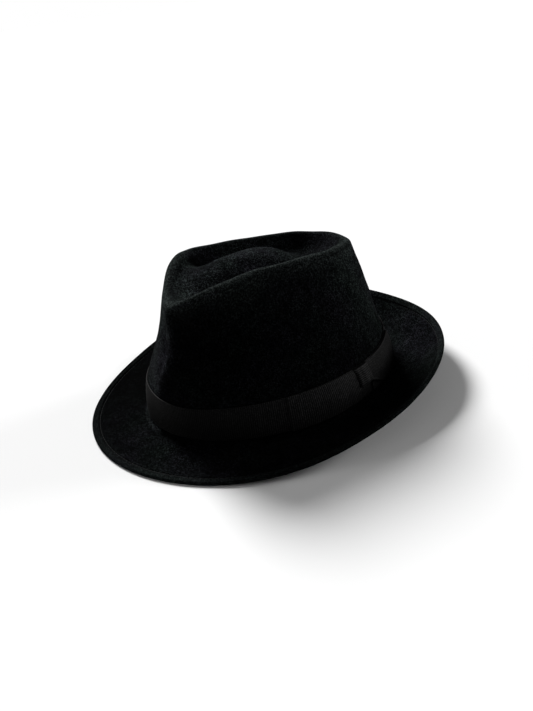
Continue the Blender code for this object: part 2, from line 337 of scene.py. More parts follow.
# height on the wall, angle of the pinched fold there on the wearer's left
pinchTable = np.array((
    (0.030, 2), (0.046, 8), (0.0575, 13), (0.069, 16.5), (0.0815, 18), (0.0895, 16.5), (0.104, 12),
))
pinch = {
    "rise": 0.0023,            # sharp fold where the front is pinched
    "width": 3.0,              # in degrees, as the trough's place and width
    "troughShare": 0.75,
    "troughPlace": 8,
    "troughWidth": 5.0,
    "low": (0.032, 0.016),     # height where it begins, and over how much it grows
    "high": (0.106, 0.010),    # the same for its end
}
# angle, a scale on the brim's colour: brushed fur, partly painted light and shade
brimNapAndPaintedLightTable = np.array((
    (0, 0.75), (30, 0.82), (60, 0.42), (90, 0.45), (120, 0.85), (150, 1.25),
    (180, 1.45), (220, 1.1), (255, 0.7), (285, 0.34), (305, 0.22), (330, 0.38),
))
# the same for the wall of the crown, also partly painted light and shade
wallNapAndPaintedLightTable = np.array((
    (0, 1.9), (30, 0.62), (60, 0.22), (90, 0.13), (112, 0.17), (135, 0.75),
    (165, 1.5), (200, 0.9), (260, 0.6), (310, 0.8), (340, 1.5),
))
# where the fur is brushed darker or lighter, partly as painted shade and painted light, and where it is
# worn, partly as a painted highlight
brushedAndPaintedLight = {
    "turn": 1.6,               # degrees over which it changes at the pinched fold
    "darkShare": 0.80,         # painted shade beyond the fold, over so many degrees
    "darkSpread": 42,
    "lightShare": 0.5,         # painted light before it, and where the painted shade has faded out
    "lightSpread": 14,
    "top": 1.4,                # the sunk top, and what the island and the front add: painted light, partly nap
    "island": 1.6,
    "islandReach": 0.034,
    "front": 1.3,
    "frontPlace": -0.056,
    "frontWidth": 0.020,
    # painted shade in the hollow beside the island's nose
    "pocket": 0.9,
    "pocketSize": (0.011, 0.013),
    "crest": (1.7, 1),         # painted highlight over the crest's fold, from the top's side to the wall's
    "middle": 3.2,
}
worn = {
    "crestMiddle": 0.42,       # wear with a painted highlight: place and width over the fold of the crest
    "crestWidth": 0.30,
    "wall": 0.26,              # just below the crest, and how fast it fades
    "wallFade": 0.0050,
    "wallHeight": 0.075,
    # the lip's wear, partly a painted highlight along it
    "lip": 0.25,
    "lipBlend": 0.0006,
}

footLength = felt["headLength"] / 2 + felt["thickness"]
footWidth = felt["headWidth"] / 2 + felt["thickness"]
footHeight = felt["thickness"] + felt["breakRadius"]
restReach = felt["breakRadius"] + felt["restWidth"]
backShare = 0.93                # the brim's turn-up at the middle of the back
backSlope = felt["brimCurl"] * felt["brimRise"] * backShare / (felt["brimBack"] - restReach)
backOverhang = felt["thickness"] * math.sin(math.atan(backSlope))
middleShift = (felt["brimFront"] - felt["brimBack"] - backOverhang) / 2
topMiddle = np.array((felt["islandAcross"], middleShift + felt["islandAlong"], 0.0))


def aroundValue(table, number, angles):
    # a smooth closed curve through one column of a table
    knots = np.concatenate((table[-2:, 0] - 360, table[:, 0], table[:2, 0] + 360))
    values = np.concatenate((table[-2:, number], table[:, number], table[:2, number]))
    slopes = np.gradient(values, knots)
    turned = np.mod(angles, 360)
    low = np.searchsorted(knots, turned, side="right") - 1
    span = knots[low + 1] - knots[low]
    t = (turned - knots[low]) / span
    return (
        values[low] * (2 * t**3 - 3 * t**2 + 1)
        + values[low + 1] * (3 * t**2 - 2 * t**3)
        + slopes[low] * span * (t**3 - 2 * t**2 + t)
        + slopes[low + 1] * span * (t**3 - t**2)
    )


def bell(values, middle, width):
    return np.exp(-(((values - middle) / width) ** 2))


def unit(vectors):
    return vectors / np.linalg.norm(vectors, axis=-1, keepdims=True)


def up(heights):
    heights = np.asarray(heights, float)
    return np.stack((np.zeros_like(heights), np.zeros_like(heights), heights), -1)


def oval(angles, halfWidth, halfFront, halfBack):
    turn = np.radians(angles)
    halfLength = np.where(np.cos(turn) > 0, halfFront, halfBack)
    return np.stack((halfWidth * np.sin(turn), middleShift - halfLength * np.cos(turn), 0 * turn), 1)


def footOval(angles, reach):
    return oval(angles, footWidth + reach, footLength + reach, footLength + reach)


def crest(angles):
    return np.stack((
        felt["crestHalfWidth"] * aroundValue(crestTable, across, angles),
        middleShift + felt["crestHalfLength"] * aroundValue(crestTable, along, angles),
        felt["crownHeight"] * aroundValue(crestTable, height, angles),
    ), 1)


def crestOutward(angles):
    line = crest(angles + 2) - crest(angles - 2)
    return unit(np.stack((line[:, 1], -line[:, 0], 0 * line[:, 0]), 1))


def footOutward(angles):
    turn = np.radians(angles)
    return unit(np.stack((np.sin(turn) / footWidth, -np.cos(turn) / footLength, 0 * turn), 1))


def foldPoint(angles, turn):
    radius = felt["crestRadius"] * aroundValue(crestTable, foldSize, angles)
    turn = np.radians(turn)
    sideways = crestOutward(angles) * (radius * np.cos(turn))[:, None]
    return crest(angles) + sideways + up(radius * (np.sin(turn) - 1))


def wallPoints(angles, heights):
    # the wall's outer face, from the foot to the start of the fold over the crest
    foot = footOval(angles, 0)
    shoulder = foldPoint(angles, aroundValue(crestTable, lean, angles))
    drop = shoulder[:, 2] - footHeight
    slope = np.tan(np.radians(aroundValue(crestTable, lean, angles)))
    end = -crestOutward(angles) * (drop * slope)[:, None]
    t = ((heights - footHeight) / drop)[:, None]
    level = foot * (2 * t**3 - 3 * t**2 + 1) + shoulder * (3 * t**2 - 2 * t**3) + end * (t**3 - t**2)
    depth = 0
    for angle, spread, middle, reach, share in dentTable:
        aside = np.mod(angles - angle + 180, 360) - 180
        above = heights / felt["crownHeight"]
        depth = depth + felt["dentDepth"] * share * bell(aside, 0, spread) * bell(above, middle, reach)
    inward = depth * np.sin(math.pi * t[:, 0]) - pinchOffset(angles, heights)
    level -= footOutward(angles) * inward[:, None]
    level[:, 2] = heights
    return level


def pastPinch(angles, heights):
    # degrees beyond the pinched fold, towards the wearer's left
    fold = np.interp(heights, pinchTable[:, 0], pinchTable[:, 1])
    return np.mod(angles - fold + 180, 360) - 180


def pinchOffset(angles, heights):
    # a ridge with a shallow trough beside it, gone at the ribbon and at the crest
    past = pastPinch(angles, heights)
    trough = pinch["troughShare"] * bell(past, pinch["troughPlace"], pinch["troughWidth"])
    (low, growth), (high, decline) = pinch["low"], pinch["high"]
    fade = np.clip((heights - low) / growth, 0, 1) * np.clip((high - heights) / decline, 0, 1)
    return pinch["rise"] * (bell(past, 0, pinch["width"]) - trough) * fade


def wallNormals(angles, heights):
    sideways = wallPoints(angles + 0.5, heights) - wallPoints(angles - 0.5, heights)
    upward = wallPoints(angles, heights + 0.0005) - wallPoints(angles, heights - 0.0005)
    return unit(np.cross(sideways, upward))


def pocketShare(points, size):
    x, y = felt["pocketPlace"]
    return bell(points[..., 0], x, size[0]) * bell(points[..., 1], y, size[1])


def floorHeight(points):
    # the sunk floor of the top and the island that stands in it
    aside = points[:, 0] - topMiddle[0]
    behind = points[:, 1] - topMiddle[1]
    length = np.where(behind < 0, felt["islandFront"], felt["islandBack"])
    away = (aside / felt["islandHalfWidth"]) ** 2 + (behind / length) ** 2
    island = felt["islandRise"] * np.exp(-felt["islandFall"] * away ** felt["islandRound"])
    level = felt["moatHeight"] - felt["moatSlope"] * (points[:, 1] - middleShift)
    return level + island - felt["pocketDepth"] * pocketShare(points, felt["pocketSize"])


def brimLine(angles, shares):
    # the brim's upper face, share 1 at the cut edge and 0 at the flat ring
    front, back = footLength + felt["brimFront"], footLength + felt["brimBack"]
    outside = oval(angles, footWidth + felt["brimSide"], front, back)
    inside = footOval(angles, restReach)
    rise = felt["brimRise"] * np.maximum(aroundValue(riseTable, 1, angles), 0)
    return [inside + (outside - inside) * s[:, None] + up(felt["thickness"] + rise * s ** felt["brimCurl"])
            for s in shares]


def brimShares(angles, distances):
    # shares of the brim at true distances from the cut edge, for each angle;
    # a distance of 1 or more stands for 1 plus a share of the brim's own depth
    steps = np.linspace(1, 0, 121)
    line = np.array(brimLine(angles, [np.full(len(angles), s) for s in steps]))
    lengths = np.linalg.norm(np.diff(line, axis=0), axis=2)
    run = np.concatenate((np.zeros((1, len(angles))), np.cumsum(lengths, axis=0)))
    shares = np.empty((len(distances), len(angles)))
    for k in range(len(angles)):
        wanted = np.where(distances < 1, distances, run[-1, k] * (distances - 1))
        shares[:, k] = np.interp(wanted, run[:, k], steps)
    return shares


edge = {
    "lipWidth": 0.0054,        # turned and stitched edge of the brim
    "lipRise": 0.0007,
    "lipBlend": 0.00045,
    "roll": 0.0013,            # how far in the round of the edge starts
    "coveredRows": 4,          # rings there that the round takes the place of
    "fineReach": 0.0090,       # fine rows for the lip and the groove
    "finePitch": 0.00036,
    "stitchInset": 0.0062,
    "grooveDepth": 0.00055,
    "grooveWidth": 0.00065,
    "stitchPitch": 0.0036,
    "stitchLength": 0.0029,
    "threadRadius": 0.00024,
    "threadSeat": 0.8,         # in radii of the thread: above the groove's floor,
    "threadSink": 1.3,         # down at a stitch's ends and up in its middle
    "threadBow": 1.6,
}


def grooveDepth(distance):
    return edge["grooveDepth"] * bell(distance, edge["stitchInset"], edge["grooveWidth"])


def lipOffset(distance):
    # the raised turned edge and the groove that the stitches pull into the felt
    lip = edge["lipRise"] * 0.5 * (1 + np.tanh((edge["lipWidth"] - distance) / edge["lipBlend"]))
    return lip - grooveDepth(distance)


def sectionNormals(rows):
    inward = np.gradient(rows, axis=0)
    sideways = np.roll(rows, -1, 1) - np.roll(rows, 1, 1)
    return unit(np.cross(sideways, inward))


def feltRows(angles, near):
    # rings of the felt's upper face, from the cut edge over the crest to the middle of the top
    far = 1 + np.linspace(0.28, 1, felt["brimRows"])
    rows = brimLine(angles, brimShares(angles, np.concatenate((near, far))))
    rows += [footOval(angles, felt["breakRadius"] + w) + up(felt["thickness"] + 0 * angles)
             for w in (felt["restWidth"] * 0.6, felt["restWidth"] * 0.2, 0)]
    for turn in np.radians(np.linspace(0, 90, 8)[1:-1]):
        reach = felt["breakRadius"] * (1 - math.sin(turn))
        rise = footHeight - felt["breakRadius"] * math.cos(turn)
        rows.append(footOval(angles, reach) + up(rise + 0 * angles))
    under = footHeight + np.linspace(0, ribbon["height"] - 0.001, 5)
    rows += [wallPoints(angles, np.full(len(angles), h)) for h in under]
    wallStart = len(rows)
    shoulder = foldPoint(angles, aroundValue(crestTable, lean, angles))[:, 2]
    rows += [wallPoints(angles, under[-1] + (shoulder - under[-1]) * s)
             for s in np.linspace(0, 1, felt["wallRows"] + 2)[1:-1]]
    ring = crest(angles)
    reach = np.linalg.norm((ring - topMiddle)[:, :2], axis=1) * (1 - felt["moatReach"])
    foldStart = aroundValue(crestTable, lean, angles)
    foldEnd = 90 + np.degrees(np.arctan(2 * (ring[:, 2] - floorHeight(ring)) / reach))
    foldRow = len(rows)
    rows += [foldPoint(angles, foldStart + (foldEnd - foldStart) * s)
             for s in np.linspace(0, 1, felt["foldRows"])]
    rim = rows[-1]
    climb = rim[:, 2] - floorHeight(rim)
    for s in np.linspace(1, 0, felt["topRows"] + 2)[1:-1]:
        point = topMiddle + (rim - topMiddle) * s
        point[:, 2] = floorHeight(point)
        steep = max(s - felt["moatReach"], 0) / (1 - felt["moatReach"])
        rows.append(point + up(climb * steep**2))
    return np.array(rows), wallStart, foldRow


def feltWaves(points):
    # two crossing sets of waves, 3 to 7 cm long
    x, y, z = points[..., 0], points[..., 1], points[..., 2]
    short = np.sin(210 * x + 90 * z + 1.3) * np.sin(160 * y - 120 * z)
    return felt["unevenness"] * (short + 0.7 * np.sin(95 * y + 150 * x - 60 * z))


def roundedEdge(angles, normal):
    # the round of the cut edge, from the lip's face to the underside
    top = lipOffset(edge["roll"])
    half = (top + felt["thickness"]) / 2
    turns = np.radians(np.linspace(90, -90, 11))
    line = brimLine(angles, brimShares(angles, edge["roll"] * (1 - np.cos(turns))))
    return [row + normal * (top - half + half * math.sin(turn)) for row, turn in zip(line, turns)]


def feltShades(angles, section, near, foldRow, edgeRow, rollCount):
    # how worn the felt is, with a painted highlight along the crest and the lip, and how its fur is
    # brushed, with painted light and shade, ring by ring of the whole section
    wear = np.zeros(section.shape[:2])
    nap = np.ones(section.shape[:2])
    brimNapAndPaintedLight = aroundValue(brimNapAndPaintedLightTable, 1, angles)
    lipStart = edgeRow + edge["coveredRows"] - len(near)      # ring inside the finely divided edge
    brimStart = lipStart - felt["brimRows"] - 1    # two rings past the brim, hidden by the ribbon
    foldLast = edgeRow + edge["coveredRows"] - foldRow
    foldFirst = foldLast - felt["foldRows"] + 1
    nap[brimStart:] = brimNapAndPaintedLight
    wall = slice(foldLast, brimStart)
    # painted shade beyond the pinched fold and painted light before it
    past = pastPinch(angles, section[wall, :, 2])
    turned = 0.5 * (1 + np.tanh(past / brushedAndPaintedLight["turn"]))
    beyond = turned * bell(np.maximum(past, 0), 0, brushedAndPaintedLight["darkSpread"])
    paintedLighter = np.maximum(bell(np.minimum(past, 0), 0, brushedAndPaintedLight["lightSpread"]) - beyond, 0)
    nap[wall] = aroundValue(wallNapAndPaintedLightTable, 1, angles) * (1 - brushedAndPaintedLight["darkShare"] * beyond)
    nap[wall] += brushedAndPaintedLight["lightShare"] * paintedLighter

    # wear with a painted highlight over the crest's fold, then just below it on the wall
    acrossFold = bell(np.linspace(0, 1, felt["foldRows"]), worn["crestMiddle"], worn["crestWidth"])
    wear[foldFirst:foldLast + 1] = acrossFold[::-1, None]
    down = np.arange(felt["wallRows"]) / felt["wallRows"] * worn["wallHeight"]
    below = slice(foldLast + 1, foldLast + 1 + felt["wallRows"])
    wear[below] = (worn["wall"] * np.exp(-down / worn["wallFade"]))[:, None]

    # painted light on the sunk top, the island and the front, and painted shade in the pocket
    inside = section[:foldFirst + 1]
    away = np.linalg.norm(inside[..., :2] - topMiddle[:2], axis=2)
    light = brushedAndPaintedLight["top"] + brushedAndPaintedLight["island"] * bell(away, 0, brushedAndPaintedLight["islandReach"])
    light += brushedAndPaintedLight["front"] * bell(inside[..., 1], brushedAndPaintedLight["frontPlace"], brushedAndPaintedLight["frontWidth"])
    nap[:foldFirst + 1] = light * (1 - brushedAndPaintedLight["pocket"] * pocketShare(inside, brushedAndPaintedLight["pocketSize"]))
    # painted highlight over the crest's fold
    nap[foldFirst:foldLast + 1] = np.linspace(*brushedAndPaintedLight["crest"], felt["foldRows"])[:, None]

    # the lip's wear and painted highlight, scaled with the brim's painted light
    lipShare = 0.5 * (1 - np.tanh((near[edge["coveredRows"]:] - edge["lipWidth"]) / worn["lipBlend"]))
    lipWearAndPaintedHighlight = worn["lip"] * np.clip(brimNapAndPaintedLight, 0.7, 1.2)
    wear[lipStart + 1:edgeRow + 1] = lipShare[::-1, None] * lipWearAndPaintedHighlight
    wear[edgeRow + 1:edgeRow + 1 + rollCount] = lipWearAndPaintedHighlight
    return np.concatenate((wear.ravel(), (0, 0))), np.concatenate((nap.ravel(), (brushedAndPaintedLight["middle"], 1)))


def buildFelt(material):
    count = felt["columns"]
    angles = np.arange(count) * 360 / count
    fine = np.arange(edge["roll"], edge["fineReach"], edge["finePitch"])
    near = np.concatenate(((0, 0.0002, 0.0006), fine))
    rows, wallStart, foldRow = feltRows(angles, near)
    normals = sectionNormals(rows)
    flat = np.all(np.abs(rows[:, :, 2] - felt["thickness"]) < 1e-7, axis=1)
    normals[flat] = (0, 0, 1)

    # the waves fade in above the ribbon, and the lip and groove follow the cut edge
    fade = np.clip((np.arange(len(rows)) - wallStart) / 8, 0, 1)[:, None]
    offset = feltWaves(rows) * fade
    offset[:len(near)] += lipOffset(near)[:, None]
    outer = (rows + normals * offset[..., None])[edge["coveredRows"]:]
    depth = np.full(len(rows), felt["thickness"])
    depth[:len(near)] -= grooveDepth(near)
    inner = rows - normals * depth[:, None, None]
    rolled = roundedEdge(angles, normals[2])
    # the inside has half as many rings beyond the finely divided edge
    beyond = [k for k in range(len(near), len(rows)) if k % 2 == 0 or k == len(rows) - 1]
    keep = list(range(edge["coveredRows"], len(near))) + beyond
    section = np.concatenate((outer[::-1], rolled, inner[keep]))
    middle = topMiddle + (0, 0, floorHeight(topMiddle[None])[0])
    poles = np.array((middle, middle - (0, 0, felt["thickness"])))
    points = np.concatenate((section.reshape(-1, 3), poles))
    faces = [(a, d, c, b) for a, b, c, d in loopFaces(len(section), count, False, True)]
    end = (len(section) - 1) * count
    for i in range(count):
        j = (i + 1) % count
        faces.append((len(points) - 2, i, j))
        faces.append((len(points) - 1, end + j, end + i))
    wear, nap = feltShades(angles, section, near, foldRow, len(outer) - 1, len(rolled))
    piece = makePiece("feltBody", points, faces, material, wear=wear, nap=nap)
    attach(piece, "root")
    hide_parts("felt_body")
    print("felt body:", len(faces), "faces")


def edgePath(side, angles, offset):
    # a closed line along the brim's edge, and the direction that its face looks
    beside = edge["stitchInset"] + np.array((-0.001, 0, 0.001))
    line = np.array(brimLine(angles, brimShares(angles, beside)))
    normals = sectionNormals(line)[1]
    base = 0 if side > 0 else -felt["thickness"]
    return line[1] + normals * (base + side * offset), normals * side


def stitchTree():
    group = bpy.data.node_groups.new("edgeStitches", "GeometryNodeTree")
    for label, kind in (("Geometry", "Geometry"), ("Stitch Count", "Int"), ("Stitch Length", "Float"),
                        ("Thread Radius", "Float"), ("Material", "Material")):
        group.interface.new_socket(label, in_out="INPUT", socket_type="NodeSocket" + kind)
    group.interface.new_socket("Geometry", in_out="OUTPUT", socket_type="NodeSocketGeometry")
    tree = Tree(group)
    given = tree.add("NodeGroupInput")
    line = tree.add("GeometryNodeMeshToCurve", None, {"Mesh": given["Geometry"]})
    line = tree.add("GeometryNodeResampleCurve", None, {"Curve": line, "Count": given["Stitch Count"]})
    length, radius = given["Stitch Length"], given["Thread Radius"]
    start = tree.add("ShaderNodeCombineXYZ", None, {0: length * -0.5, 2: radius * -edge["threadSink"]})
    top = tree.add("ShaderNodeCombineXYZ", None, {2: radius * edge["threadBow"]})
    end = tree.add("ShaderNodeCombineXYZ", None, {0: length * 0.5, 2: radius * -edge["threadSink"]})
    bow = tree.add("GeometryNodeCurveQuadraticBezier", None,
                   {"Resolution": 6, "Start": start, "Middle": top, "End": end})
    ring = tree.add("GeometryNodeCurvePrimitiveCircle", None, {"Resolution": 6, "Radius": radius})
    stitch = tree.add("GeometryNodeCurveToMesh", None,
                      {"Curve": bow, "Profile Curve": ring, "Fill Caps": True})
    facing = tree.add("GeometryNodeInputNamedAttribute", {"data_type": "FLOAT_VECTOR"}, {"Name": "facing"})
    tangent = tree.add("GeometryNodeInputTangent")
    upright = tree.add("FunctionNodeAlignRotationToVector", {"axis": "Z"}, {"Vector": facing})
    turned = tree.add("FunctionNodeAlignRotationToVector", {"axis": "X", "pivot_axis": "Z"},
                      {"Rotation": upright, "Vector": tangent})
    placed = tree.add("GeometryNodeInstanceOnPoints", None,
                      {"Points": line, "Instance": stitch, "Rotation": turned})
    real = tree.add("GeometryNodeRealizeInstances", None, {"Geometry": placed})
    smooth = tree.add("GeometryNodeSetShadeSmooth", None, {"Geometry": real})
    done = tree.add("GeometryNodeSetMaterial", None, {"Geometry": smooth, "Material": given["Material"]})
    tree.add("NodeGroupOutput", None, {"Geometry": done})
    return group


def giveInputs(modifier, **values):
    # inputs go in by their sockets' identifiers
    names = {item.name: item.identifier for item in modifier.node_group.interface.items_tree
             if item.in_out == "INPUT"}
    for name, value in values.items():
        modifier[names[name.replace("_", " ")]] = value


def buildStitches(material):
    angles = np.arange(900) * 0.4
    group = stitchTree()
    for name, side in (("upperEdgeStitches", 1), ("underEdgeStitches", -1)):
        seat = edge["threadRadius"] * edge["threadSeat"] - edge["grooveDepth"]
        line, facing = edgePath(side, angles, seat)
        mesh = bpy.data.meshes.new(name)
        count = len(line)
        mesh.from_pydata(line.tolist(), [(i, (i + 1) % count) for i in range(count)], [])
        mesh.attributes.new("facing", "FLOAT_VECTOR", "POINT").data.foreach_set("vector", facing.ravel())
        piece = bpy.data.objects.new(name, mesh)
        bpy.context.scene.collection.objects.link(piece)
        girth = np.linalg.norm(np.roll(line, -1, 0) - line, axis=1).sum()
        modifier = piece.modifiers.new("stitches", "NODES")
        modifier.node_group = group
        giveInputs(
            modifier,
            Stitch_Count=round(girth / edge["stitchPitch"]),
            Stitch_Length=edge["stitchLength"],
            Thread_Radius=edge["threadRadius"],
            Material=material,
        )
        bakeModifiers(piece)
        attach(piece, "root")
        print(name, round(girth / edge["stitchPitch"]), "stitches")


ribbon = {
    "height": 0.0250,
    "thickness": 0.0007,
    "gap": 0.0003,
    "ribPitch": 0.0015,
    "ribHeight": 0.00014,
    "ribColumns": 4,           # columns of faces to each cord
    "knotAngle": 106,          # degrees from the front
    "knotWidth": 0.0175,
    "knotRise": 0.0012,        # above the wings, and what its rounded middle adds
    "knotCrown": 0.0006,
    "crownTurn": 1.4,
    "knotLow": 0.36,           # its ends, as shares of the ribbon's height
    "knotHigh": 1.00,
    "knotPinch": 0.06,         # how much narrower it is in the middle
    "knotRows": 5,             # rows of faces to each cord
    "knotColumns": (5, 25),    # columns behind and in front
    "knotLift": 0.0004,        # of its ends from the ribbon's band
    "creaseDepth": 0.00022,
    "creaseTurn": 7.5,
    "wingLength": 0.0590,
    "wingPuff": 0.0006,
    "wingTuck": 0.0012,        # how far a wing starts under the knot, and what it gains by it
    "wingGain": 0.0015,
    "pleatDepth": 0.0004,
    "pleatReach": 0.22,        # as a share of the wing
    "pleats": 3.5,
}
# angle, a scale on the ribbon's colour: painted light and shade round the hat
ribbonPaintedLightTable = np.array((
    (0, 0.55), (22, 0.26), (42, 0.48), (66, 1.25), (100, 1.50), (125, 0.9),
    (160, 0.7), (200, 0.45), (260, 0.35), (320, 0.42),
))
# place along the wing, lower edge, upper edge
wingTable = np.array(((0, 0.36, 0.98), (0.10, 0.24, 0.98), (0.24, 0.04, 1), (0.40, 0, 1), (1, 0, 1)))
bowSeat = 2 * ribbon["gap"] + ribbon["thickness"]


def ribTree():
    group = bpy.data.node_groups.new("grosgrainRibs", "GeometryNodeTree")
    for label, kind in (("Geometry", "Geometry"), ("Rib Pitch", "Float"), ("Rib Height", "Float"),
                        ("Material", "Material")):
        group.interface.new_socket(label, in_out="INPUT", socket_type="NodeSocket" + kind)
    group.interface.new_socket("Geometry", in_out="OUTPUT", socket_type="NodeSocketGeometry")
    tree = Tree(group)
    given = tree.add("NodeGroupInput")
    run = tree.add("GeometryNodeInputNamedAttribute", {"data_type": "FLOAT"}, {"Name": "run"})
    face = tree.add("GeometryNodeInputNamedAttribute", {"data_type": "FLOAT"}, {"Name": "face"})
    wave = (run / given["Rib Pitch"] * (2 * math.pi)).cos()
    normal = tree.add("GeometryNodeInputNormal")
    offset = tree.add("ShaderNodeVectorMath", {"operation": "SCALE"},
                      {0: normal, "Scale": wave * face * given["Rib Height"]})
    ribbed = tree.add("GeometryNodeSetPosition", None, {"Geometry": given["Geometry"], "Offset": offset})
    real = tree.add("GeometryNodeRealizeInstances", None, {"Geometry": ribbed})
    done = tree.add("GeometryNodeSetMaterial", None, {"Geometry": real, "Material": given["Material"]})
    tree.add("NodeGroupOutput", None, {"Geometry": done})
    return group


def addRibs(piece, group, material):
    modifier = piece.modifiers.new("ribs", "NODES")
    modifier.node_group = group
    giveInputs(modifier, Rib_Pitch=ribbon["ribPitch"], Rib_Height=ribbon["ribHeight"], Material=material)
    bakeModifiers(piece)


def onWall(angles, shares, offsets):
    heights = footHeight + ribbon["height"] * shares
    return wallPoints(angles, heights) + wallNormals(angles, heights) * offsets[:, None]


def loopFaces(rows, columns, closedRows, closedColumns):
    faces = []
    for r in range(rows if closedRows else rows - 1):
        s = (r + 1) % rows
        for c in range(columns if closedColumns else columns - 1):
            d = (c + 1) % columns
            faces.append((r * columns + c, r * columns + d, s * columns + d, s * columns + c))
    return faces


def bandSection():
    # share of the height, offset from the inner face and how much the cords show, once round the ribbon
    bead = 0.00010
    thick = ribbon["thickness"]
    return np.array((
        (0.02, 0, 0), (0.5, 0, 0), (0.98, 0, 0),
        (0.994, 0.1 * thick, 0), (1, 0.5 * thick, 0), (0.994, 0.95 * thick + bead, 0.3),
        (0.975, thick + bead, 0.6), (0.95, thick, 1), (0.8, thick, 1), (0.65, thick, 1), (0.5, thick, 1),
        (0.35, thick, 1), (0.2, thick, 1), (0.05, thick, 1), (0.025, thick + bead, 0.6),
        (0.006, 0.95 * thick + bead, 0.3), (0, 0.5 * thick, 0), (0.006, 0.1 * thick, 0),
    ))


def buildBand(group, material):
    fine = np.linspace(0, 360, 3601)
    line = onWall(fine, np.full(len(fine), 0.5), np.full(len(fine), 0.001))
    run = np.concatenate(((0,), np.cumsum(np.linalg.norm(np.diff(line, axis=0), axis=1))))
    cords = round(run[-1] / ribbon["ribPitch"])
    columns = cords * ribbon["ribColumns"]
    wanted = np.arange(columns) * run[-1] / columns
    angles = np.interp(wanted, run, fine)
    section = bandSection()
    points, runs, faceValues, uv = [], [], [], []
    # painted light and shade round the hat
    naps = np.tile(aroundValue(ribbonPaintedLightTable, 1, angles), len(section))
    for share, offset, face in section:
        points.append(onWall(angles, np.full(columns, share), np.full(columns, ribbon["gap"] + offset)))
        runs.append(np.arange(columns) / ribbon["ribColumns"] * ribbon["ribPitch"])
        faceValues.append(np.full(columns, face))
        uv.append(np.stack((runs[-1], np.full(columns, share * ribbon["height"])), 1))
    faces = [face[::-1] for face in loopFaces(len(section), columns, True, True)]
    piece = makePiece("ribbonBand", np.concatenate(points), faces, material, np.concatenate(uv),
                      run=np.concatenate(runs), face=np.concatenate(faceValues), nap=naps)
    addRibs(piece, group, material)
    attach(piece, "root")
    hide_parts("hat_band")
    print("ribbon band:", cords, "cords")


def angleAlong(distance):
    turn = math.radians(ribbon["knotAngle"])
    pace = math.hypot(footWidth * math.cos(turn), footLength * math.sin(turn))
    return ribbon["knotAngle"] + np.degrees(np.asarray(distance, float) / pace)


def buildWing(name, side, node, group, material):
    # a flat loop of ribbon: out from the knot, round the fold and back underneath
    thick, gap, length = ribbon["thickness"], ribbon["gap"], ribbon["wingLength"]
    half = (2 * thick + gap) / 2
    stepsOut = round(length / ribbon["ribPitch"]) * ribbon["ribColumns"]
    out = np.linspace(0, 1, stepsOut + 1)
    bend = np.linspace(0, 180, 13)[1:-1]
    middle = (half + gap / 2) / 2      # from the loop's middle to the middle of its ribbon
    # along the wing and back: place, side of the loop, and how far the ribbon looks outward
    path = np.concatenate((out, 1 + middle * np.sin(np.radians(bend)) / length, out[::-1]))
    swing = np.concatenate((0 * out + 1, np.cos(np.radians(bend)), 0 * out - 1))
    forward = np.concatenate((0 * out, np.sin(np.radians(bend)), 0 * out))
    count = len(path)
    places = np.clip(path, 0, 1)
    upper = np.concatenate((0 * out + 1, np.linspace(1, 0, len(bend)), 0 * out))
    low = np.interp(places, wingTable[:, 0], wingTable[:, 1]) * upper
    high = 1 - (1 - np.interp(places, wingTable[:, 0], wingTable[:, 2])) * upper
    puff = ribbon["wingPuff"] * np.sin(math.pi * places) ** 0.8 * upper
    section = bandSection()
    runs = np.concatenate((out * length, length + np.linspace(0, math.pi * middle, len(bend)),
                           length + math.pi * middle + (1 - out[::-1]) * length))
    points, runValues, faceValues, naps, uv = [], [], [], [], []
    for share, offset, face in section:
        depth = middle + (offset - thick / 2)
        fan = bell(places, 0, ribbon["pleatReach"]) * upper
        pleat = ribbon["pleatDepth"] * fan * np.cos(share * ribbon["pleats"] * 2 * math.pi)
        bow = puff * np.sin(math.pi * share) ** 0.6
        reach = path + forward * (offset - thick / 2) / length
        away = bowSeat + half + swing * depth + pleat + bow
        along = ribbon["knotWidth"] / 2 - ribbon["wingTuck"] + reach * (length + ribbon["wingGain"])
        angles = angleAlong(side * along)
        points.append(onWall(angles, low + (high - low) * share, away))
        naps.append(aroundValue(ribbonPaintedLightTable, 1, angles))
        runValues.append(runs)
        faceValues.append(np.full(count, face))
        uv.append(np.stack((runs, np.full(count, share * ribbon["height"])), 1))
    faces = loopFaces(len(section), count, True, False)
    if side > 0:
        faces = [face[::-1] for face in faces]
    rows = len(section)
    start = [r * count for r in range(rows)]
    last = [r * count + count - 1 for r in range(rows)]
    faces += [start[::-1], last] if side > 0 else [start, last[::-1]]
    piece = makePiece(
        name, np.concatenate(points), faces, material, np.concatenate(uv),
        run=np.concatenate(runValues), face=np.concatenate(faceValues), nap=np.concatenate(naps),
    )
    addRibs(piece, group, material)
    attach(piece, "root")
    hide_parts(node)
    print(name, count, "columns")


